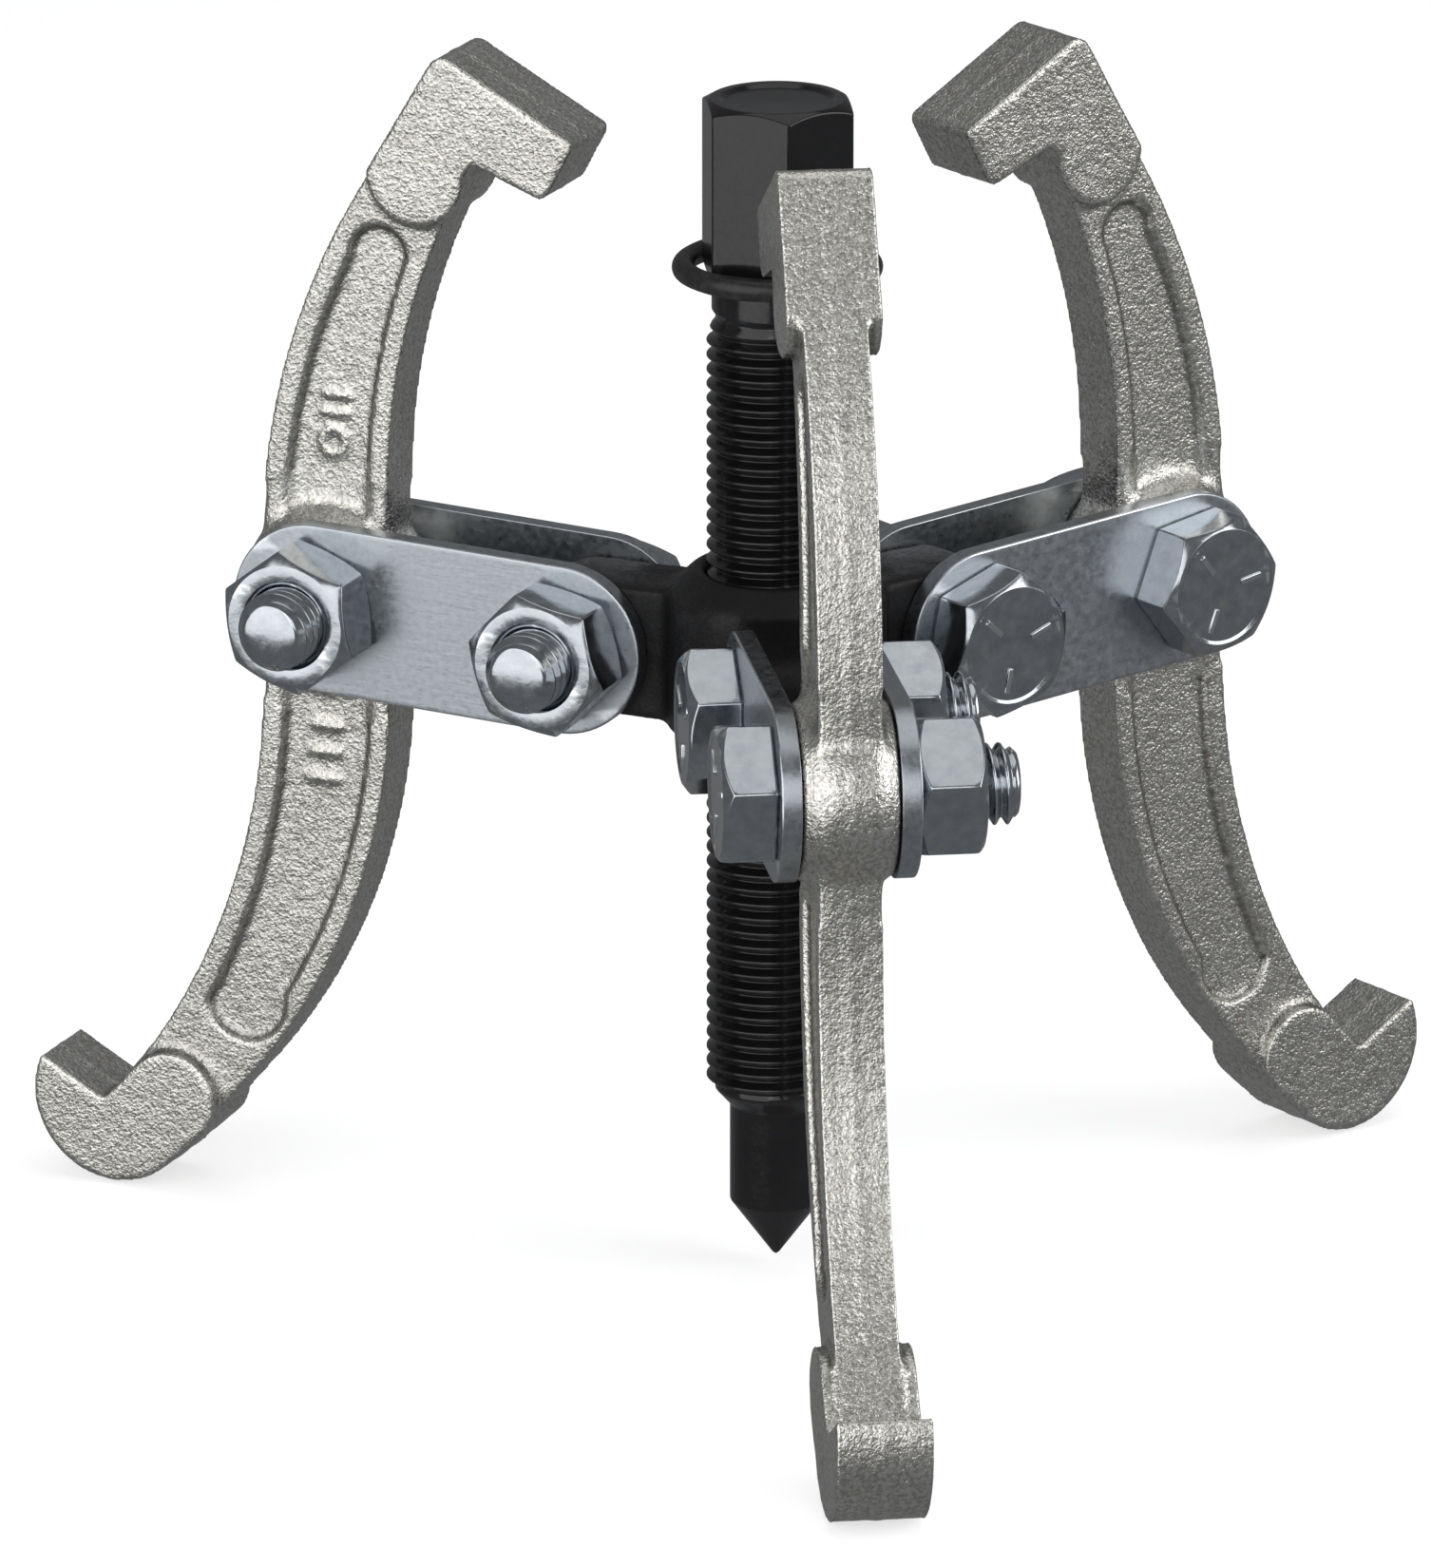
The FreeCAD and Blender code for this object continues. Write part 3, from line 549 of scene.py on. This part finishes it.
def push_out(mesh, points, normals, shift):
    """Move each point along its normal, each by its own shift."""
    mesh.vertices.foreach_set("co", (points + normals * shift[:, None]).ravel())
    mesh.update()


def waviness(points, scale):
    """A smooth random number between about -1 and 1 for each point."""
    return np.array([noise.noise(Vector(point) * scale) for point in points])


def raise_parting_line(mesh):
    """A trimmed flash line round the middle of the edges, and a faint unevenness all over."""
    points, normals = points_and_normals(mesh)
    across = np.clip(1 - np.abs(points[:, 1]) / PARTING_HALF_WIDTH, 0, 1)
    facing = np.clip((0.6 - np.abs(normals[:, 1])) / 0.3, 0, 1)
    outside = np.hypot(points[:, 0], points[:, 2]) > BORE_KEPT
    ragged = 0.75 + 0.5 * waviness(points, 0.45)
    shift = facing * outside * (PARTING_HEIGHT * across * ragged - SET_BACK)
    push_out(mesh, points, normals, shift + JAW_UNEVEN * (waviness(points, 0.8) - 1.0))


print("boss and parting line ready")

# %% [markdown]
# One mesh serves the three jaws. Its net is fine enough for the marks, at 0.28 mm.

# %% Jaws
JAW_NET, JAW_PASSES = 0.28, 9
jaw_mesh = forged_copy("jaw_front", standing_at("front"), JAW_NET, JAW_PASSES, raised_marks)
blend_boss(jaw_mesh)
raise_parting_line(jaw_mesh)
jaw_mesh.transform(METRES)
for where in JAW_ANGLES:
    place(f"forged_jaw_{where}", jaw_mesh, f"jaw_{where}", standing_at(where), crisp=False)
print("one jaw has", len(jaw_mesh.polygons), "faces")

# %% [markdown]
# ## Yoke
#
# The yoke is also a forging, but its arms run into the hub with generous fillets. The same
# method with a coarser net and longer relaxing fills those corners.

# %% Yoke
YOKE_NET, YOKE_PASSES = 0.42, 12
YOKE_BORE_KEPT, YOKE_UNEVEN = 8.0, 0.08
yoke_stand = Matrix.Translation((0, 0, pivots["link_lift_front"].z))
yoke_mesh = forged_copy("yoke", yoke_stand, YOKE_NET, YOKE_PASSES)
points, normals = points_and_normals(yoke_mesh)
beyond_bore = np.clip(np.hypot(points[:, 0], points[:, 1]) - YOKE_BORE_KEPT, 0, 1)
shift = YOKE_UNEVEN * (waviness(points, 0.5) - 0.4) * beyond_bore
push_out(yoke_mesh, points, normals, shift)
yoke_mesh.transform(METRES)
place("forged_yoke", yoke_mesh, "yoke", yoke_stand, crisp=False)
print("yoke has", len(yoke_mesh.polygons), "faces")

# %% [markdown]
# ## Forcing screw
#
# One turned bar: a point, a plain nose, an M14 thread of 1.5 mm pitch, a neck and a 14 mm
# hexagon with coned corners. All rows share the hexagon's columns, so the skin is unbroken
# from the point to the top.

# %% Screw
SCREW_CREST, SCREW_DEPTH, SCREW_PITCH = 7.0, 0.92, 1.5
NOSE, CONE_HEIGHT, NOSE_TOP = 4.65, 6.1, 16.3
THREAD_BOTTOM, THREAD_TOP = 17.9, 98.4
NECK, HEX_BOTTOM, HEX_TOP, HEX_FLATS = 6.5, 102.6, 120.3, 14.0
TOP_DISH, TOP_RIM = 0.45, 0.9
ROOT = SCREW_CREST - SCREW_DEPTH
CORNER_SLOPE = math.tan(math.radians(30))
CONE_START = 0.475 * HEX_FLATS


def screw_limit(height):
    """The thread runs out over its last turns at both ends."""
    from_below = ROOT + 0.75 * (height - THREAD_BOTTOM)
    from_above = ROOT + 0.45 * (THREAD_TOP - height)
    return min(SCREW_CREST, from_below, from_above)


def below_thread(_):
    """Point, nose and the shoulder up to the thread's root."""
    run = [(0, 0), (0.35, 0.25), (NOSE, CONE_HEIGHT), (NOSE, NOSE_TOP), (ROOT, THREAD_BOTTOM)]
    return soften(run, [0.25, 0.5, 0.4], 4)


def above_thread(corner):
    """Neck, the hexagon's coned underside, its flats, its coned top and the shallow dish."""
    fall = (corner - CONE_START) * CORNER_SLOPE
    run = [(ROOT, THREAD_TOP), (NECK, THREAD_TOP + 0.6), (NECK, HEX_BOTTOM)]
    run += [(CONE_START, HEX_BOTTOM)]
    run += [(corner, HEX_BOTTOM + fall), (corner, HEX_TOP - fall), (CONE_START, HEX_TOP)]
    run += [(CONE_START - TOP_RIM, HEX_TOP), (CONE_START - TOP_RIM - 0.6, HEX_TOP + 0.1 - TOP_DISH)]
    run += [(0, HEX_TOP - TOP_DISH)]
    return soften(run, [0.3, 0.15, 0.05, 0.25, 0.3, 0.25, 0.2, 0.3], 3)


columns = hexagon_columns(HEX_FLATS, 0.4)
bm = bmesh.new()
rows = turned_rows(columns, below_thread)
rows += thread_rows(
    columns, SCREW_PITCH, SCREW_DEPTH, SCREW_CREST, THREAD_BOTTOM, THREAD_TOP, screw_limit
)
rows += turned_rows(columns, above_thread)
skin(bm, rows)
screw_mesh = finish_mesh(bm, "turned_screw")
place("turned_screw", screw_mesh, "forcing_screw")
print("screw has", len(screw_mesh.polygons), "faces")

# %% [markdown]
# ## Rubber ring
#
# A rubber ring stretched over the hexagon's foot. A torus would do, but a stretched ring is
# pulled a little flatter where it crosses each corner, so its wire varies round the turn.

# %% Ring
low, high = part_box("rubber_ring")
WIRE = 500 * (high.z - low.z)
RING_RADIUS = 500 * (high.x - low.x) - WIRE
RING_HEIGHT = 500 * (high.z + low.z)
TURN_STEPS, WIRE_STEPS = 120, 28
rows = []
for k in range(WIRE_STEPS + 1):
    round_wire = 2 * math.pi * k / WIRE_STEPS
    row = []
    for i in range(TURN_STEPS + 1):
        angle = 2 * math.pi * i / TURN_STEPS
        wire = WIRE * (0.97 + 0.03 * math.cos(6 * angle))
        radius = RING_RADIUS + wire * math.cos(round_wire)
        height = RING_HEIGHT + wire * math.sin(round_wire)
        row.append(Vector((radius * math.cos(angle), radius * math.sin(angle), height)))
    rows.append(row)
bm = bmesh.new()
skin(bm, rows)
place("rubber_ring_band", finish_mesh(bm, "rubber_ring_band"), "rubber_ring", crisp=False)
print(f"ring {2 * RING_RADIUS:.1f} mm across, {2 * WIRE:.1f} mm wire")

# %% [markdown]
# ## Bolts and nuts
#
# M8 bolts with 13 mm heads. A cold-formed head has a cone that trims its corners into curved
# edges, a shallow round dish on top and, here, three plain raised bars in the dish. The rows
# follow the curved edges exactly because each column works out its own trim. Heads and nuts
# share one set of columns.

# %% Bolt
BOLT_CREST, BOLT_DEPTH, BOLT_PITCH = 3.97, 0.72, 1.25
BOLT_LENGTH, HEAD_HEIGHT, HEAD_FLATS, NUT_HEIGHT = 24.0, 5.3, 13.0, 6.6
HEAD_CONE = 0.475 * HEAD_FLATS
HEAD_SLOPE = math.tan(math.radians(36))
BOLT_THREAD_BOTTOM = 12.0
SHANK = BOLT_CREST - 0.04
END_RADIUS, END_DOME = 3.1, 0.35
BOLT_END = BOLT_LENGTH - END_DOME
DISH, DISH_RIM, DISH_SLOPE = 0.15, 0.4, 0.3


def bolt_limit(height):
    """The thread starts gently on the shank and ends in a 45 degree chamfer."""
    from_shank = SHANK + 0.5 * (height - BOLT_THREAD_BOTTOM)
    return min(BOLT_CREST, from_shank, END_RADIUS + (BOLT_END - height))


def bolt_head(corner):
    """From the middle of the dish, over the cone and down the flats to the shank."""
    fall = (corner - HEAD_CONE) * HEAD_SLOPE
    rim = HEAD_CONE - DISH_RIM
    run = [(0, DISH - HEAD_HEIGHT), (rim - DISH_SLOPE, DISH - HEAD_HEIGHT), (rim, -HEAD_HEIGHT)]
    run += [(HEAD_CONE, -HEAD_HEIGHT), (corner, fall - HEAD_HEIGHT), (corner, -0.25)]
    run += [(corner - 0.3, 0), (SHANK + 0.3, 0), (SHANK, 0.3), (SHANK, BOLT_THREAD_BOTTOM)]
    return soften(run, [0.2, 0.08, 0.07, 0.25, 0.2, 0.1, 0.1, 0.1], 3)


def bolt_end(_):
    """The end, slightly domed as it was sheared and rolled."""
    tilts = np.linspace(math.pi / 2, 0, 7)
    return [(END_RADIUS * math.sin(t), BOLT_END + END_DOME * math.cos(t)) for t in tilts]


def raised_bar(bm, angle):
    """A small rounded bar standing in the head's dish."""
    spot = Matrix.Rotation(angle, 4, "Z") @ Matrix.Translation((3.5, 0, DISH - HEAD_HEIGHT))
    size = Matrix.Diagonal((2.6, 0.65, 0.36, 1))
    made = bmesh.ops.create_cube(bm, size=1.0, matrix=spot @ size)
    edges = {edge for vert in made["verts"] for edge in vert.link_edges}
    bmesh.ops.bevel(bm, geom=list(edges), offset=0.12, segments=2, affect="EDGES", profile=0.5)


columns = hexagon_columns(HEAD_FLATS, 0.4)
bm = bmesh.new()
rows = turned_rows(columns, bolt_head)
rows += thread_rows(
    columns, BOLT_PITCH, BOLT_DEPTH, BOLT_CREST, BOLT_THREAD_BOTTOM, BOLT_END, bolt_limit
)
rows += turned_rows(columns, bolt_end)
skin(bm, rows)
for i in range(3):
    raised_bar(bm, math.radians(90 + 120 * i))
bolt_mesh = finish_mesh(bm, "hexagon_bolt")
print("bolt has", len(bolt_mesh.polygons), "faces")

# %% Nut
def nut_profile(corner):
    """Once round the nut's wall: bore, countersink, face, cone, flats and back."""
    fall = (corner - HEAD_CONE) * HEAD_SLOPE
    bore, sink = 4.06, 0.55
    run = [(bore, NUT_HEIGHT / 2), (bore, NUT_HEIGHT - sink), (bore + sink, NUT_HEIGHT)]
    run += [(HEAD_CONE, NUT_HEIGHT), (corner, NUT_HEIGHT - fall), (corner, fall), (HEAD_CONE, 0)]
    run += [(bore + sink, 0), (bore, sink), (bore, NUT_HEIGHT / 2)]
    return soften(run, [0.1, 0.08, 0.07, 0.25, 0.25, 0.07, 0.08, 0.1], 3)


bm = bmesh.new()
skin(bm, turned_rows(columns, nut_profile))
nut_mesh = finish_mesh(bm, "hexagon_nut")
print("nut has", len(nut_mesh.polygons), "faces")

# %% [markdown]
# The bolts lie across the links, heads on one side and nuts on the other, each hexagon turned
# as its spanner left it. The sideways places come from the frame's front bolt and nut.

# %% Place bolts and nuts
HEX_TURNS = {
    ("yoke", "front"): 0.0, ("yoke", "right"): 12.0, ("yoke", "left"): 17.0,
    ("jaw", "front"): 14.0, ("jaw", "right"): 22.0, ("jaw", "left"): 8.0,
}
LAID_SIDEWAYS = Matrix.Rotation(math.radians(-90), 4, "X")
head_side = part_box("jaw_bolt_front")[0].x + HEAD_HEIGHT / 1000
nut_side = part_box("jaw_nut_front")[0].x
for (end, where), turn in HEX_TURNS.items():
    stand = standing_at(where, "link_lift" if end == "yoke" else "jaw_swing")
    for mesh, kind, side in ((bolt_mesh, "bolt", head_side), (nut_mesh, "nut", nut_side)):
        spin = Matrix.Rotation(math.radians(turn), 4, "Z")
        matrix = stand @ Matrix.Translation((0, side, 0)) @ LAID_SIDEWAYS @ spin
        place(f"{end}_{kind}_{where}_hex", mesh, f"{end}_{kind}_{where}", matrix)
print("bolts from", round(1000 * head_side, 2), "nuts from", round(1000 * nut_side, 2), "mm")

# %% [markdown]
# ## Link plates
#
# Punched strip: the punch rolls the edge over on its own side, so the outer face has a larger
# round than the inner one. The flat faces are filled between outline and holes.

# %% Link plate
PLATE_HALF_WIDTH, PLATE_THICKNESS, HOLE = 8.7, 2.0, 4.05
ROLLED_EDGE, BREAK_EDGE = 0.55, 0.2
HOLE_ROLLED, HOLE_BREAK = 0.2, 0.15


def stadium(offset, steps=36):
    """The strip's outline drawn in by an offset, anticlockwise, the first point repeated."""
    radius = PLATE_HALF_WIDTH - offset
    points = []
    for middle, start in ((LINK_LENGTH, -90), (0, 90)):
        for k in range(steps + 1):
            angle = math.radians(start + 180 * k / steps)
            points.append((middle + radius * math.cos(angle), radius * math.sin(angle)))
    return [*points, points[0]]


def hole_ring(middle, radius, steps=48):
    """A round hole's edge, the first point repeated."""
    angles = [2 * math.pi * k / steps for k in range(steps + 1)]
    return [(middle + radius * math.cos(a), radius * math.sin(a)) for a in angles]


def rim(bm, ring_at, rolled, broken):
    """The wall of an outline or a hole, with a rolled edge on top and a small one below."""
    run = [(broken, 0), (0, 0), (0, PLATE_THICKNESS), (rolled, PLATE_THICKNESS)]
    wall = soften(run, [broken * 0.9, rolled * 0.9], 5)
    skin(bm, [[Vector((x, y, height)) for x, y in ring_at(offset)] for offset, height in wall])


def flat_face(bm, height, offset, hole_offset):
    """The flat between the outline and the two holes."""
    rings = [hole_ring(middle, HOLE + hole_offset) for middle in (0, LINK_LENGTH)]
    loops = [[Vector((x, y, height)) for x, y in ring[:-1]] for ring in [stadium(offset), *rings]]
    corners = [bm.verts.new(point) for loop in loops for point in loop]
    for a, b, c in tessellate_polygon(loops):
        bm.faces.new((corners[a], corners[b], corners[c]))


bm = bmesh.new()
rim(bm, stadium, ROLLED_EDGE, BREAK_EDGE)
for middle in (0, LINK_LENGTH):
    rim(bm, lambda offset, m=middle: hole_ring(m, HOLE + offset), HOLE_ROLLED, HOLE_BREAK)
flat_face(bm, 0, BREAK_EDGE, HOLE_BREAK)
flat_face(bm, PLATE_THICKNESS, ROLLED_EDGE, HOLE_ROLLED)
plate_mesh = finish_mesh(bm, "punched_link", longest=1.5)
print("plate has", len(plate_mesh.polygons), "faces")

# %% Place link plates
rise = Matrix.Rotation(math.radians(-LINK_RISE), 4, "Y")
inner_face = nut_side - PLATE_THICKNESS / 1000
for where in JAW_ANGLES:
    stand = standing_at(where, "link_lift") @ rise
    nut_matrix = stand @ Matrix.Translation((0, inner_face, 0)) @ LAID_SIDEWAYS
    flipped = LAID_SIDEWAYS @ Matrix.Rotation(math.radians(180), 4, "X")
    head_matrix = stand @ Matrix.Translation((0, -inner_face, 0)) @ flipped
    for side, matrix in (("nut", nut_matrix), ("head", head_matrix)):
        place(f"punched_link_{where}_{side}", plate_mesh, f"link_{where}_{side}_side", matrix)
print("plates stand", round(1000 * inner_face, 2), "mm either side of the middle")

# %% [markdown]
# ## Floor, light and camera
#
# Steel shows whatever stands round it, so the lights are large and soft: a wide one low on the
# left, smaller ones on the right and above, and one farther off in front. The dim world between
# them gives the dark reflections that make zinc look like metal. The pale floor glows faintly,
# so that its shadows stay light, and polished faces don't mirror it. The long lens keeps the
# three jaws nearly the same size.

# %% Stage
FLOOR_GAP, FLOOR_HALF = 0.0003, 6.0
floor_height = cad_box[0].z - FLOOR_GAP
floor_mesh = bpy.data.meshes.new("floor")
signs = ((-1, -1), (1, -1), (1, 1), (-1, 1))
corners = [(x * FLOOR_HALF, y * FLOOR_HALF, floor_height) for x, y in signs]
floor_mesh.from_pydata(corners, [], [(0, 1, 2, 3)])
floor = bpy.data.objects.new("floor", floor_mesh)
bpy.context.scene.collection.objects.link(floor)
paper = bpy.data.materials.new("pale_floor")
paper.use_nodes = True
paper_shader = paper.node_tree.nodes["Principled BSDF"]
paper_shader.inputs["Base Color"].default_value = (0.92, 0.92, 0.92, 1)
paper_shader.inputs["Roughness"].default_value = 0.9
paper_shader.inputs["Emission Color"].default_value = (1, 1, 1, 1)
paper_shader.inputs["Emission Strength"].default_value = 0.60
floor_mesh.materials.append(paper)
floor.visible_glossy = False

world = bpy.data.worlds.new("studio")
world.use_nodes = True
background = world.node_tree.nodes["Background"]
background.inputs["Color"].default_value = (0.95, 0.97, 1.0, 1)
background.inputs["Strength"].default_value = 0.17
bpy.context.scene.world = world


def soft_light(name, position, size, power):
    """A square soft light pointing at the middle of the puller."""
    light = bpy.data.lights.new(name, "AREA")
    light.size, light.energy = size, power
    lamp = bpy.data.objects.new(name, light)
    bpy.context.scene.collection.objects.link(lamp)
    lamp.location = position
    aim = Vector((0, 0, 0.06)) - Vector(position)
    lamp.rotation_euler = aim.to_track_quat("-Z", "Y").to_euler()


soft_light("left_softbox", (-0.95, -0.80, 0.35), 1.5, 9.5)
soft_light("right_softbox", (1.05, -0.45, 0.50), 0.9, 5.5)
soft_light("top_softbox", (0.10, 0.10, 1.10), 1.0, 2.2)
soft_light("front_softbox", (-0.20, -1.90, 0.70), 1.2, 6.0)
print("floor at", round(1000 * floor_height, 2), "mm")

# %% Camera
camera_data = bpy.data.cameras.new("camera")
camera_data.lens = 277.33
camera = bpy.data.objects.new("camera", camera_data)
bpy.context.scene.collection.objects.link(camera)
camera.location = (-0.147925, -1.137767, 0.415988)
looking = Vector((0.1178, 0.9453, -0.3041))
camera.rotation_euler = looking.to_track_quat("-Z", "Y").to_euler()
bpy.context.scene.camera = camera
bpy.context.scene.view_settings.view_transform = "Standard"
print("camera", [round(v, 3) for v in camera.location])
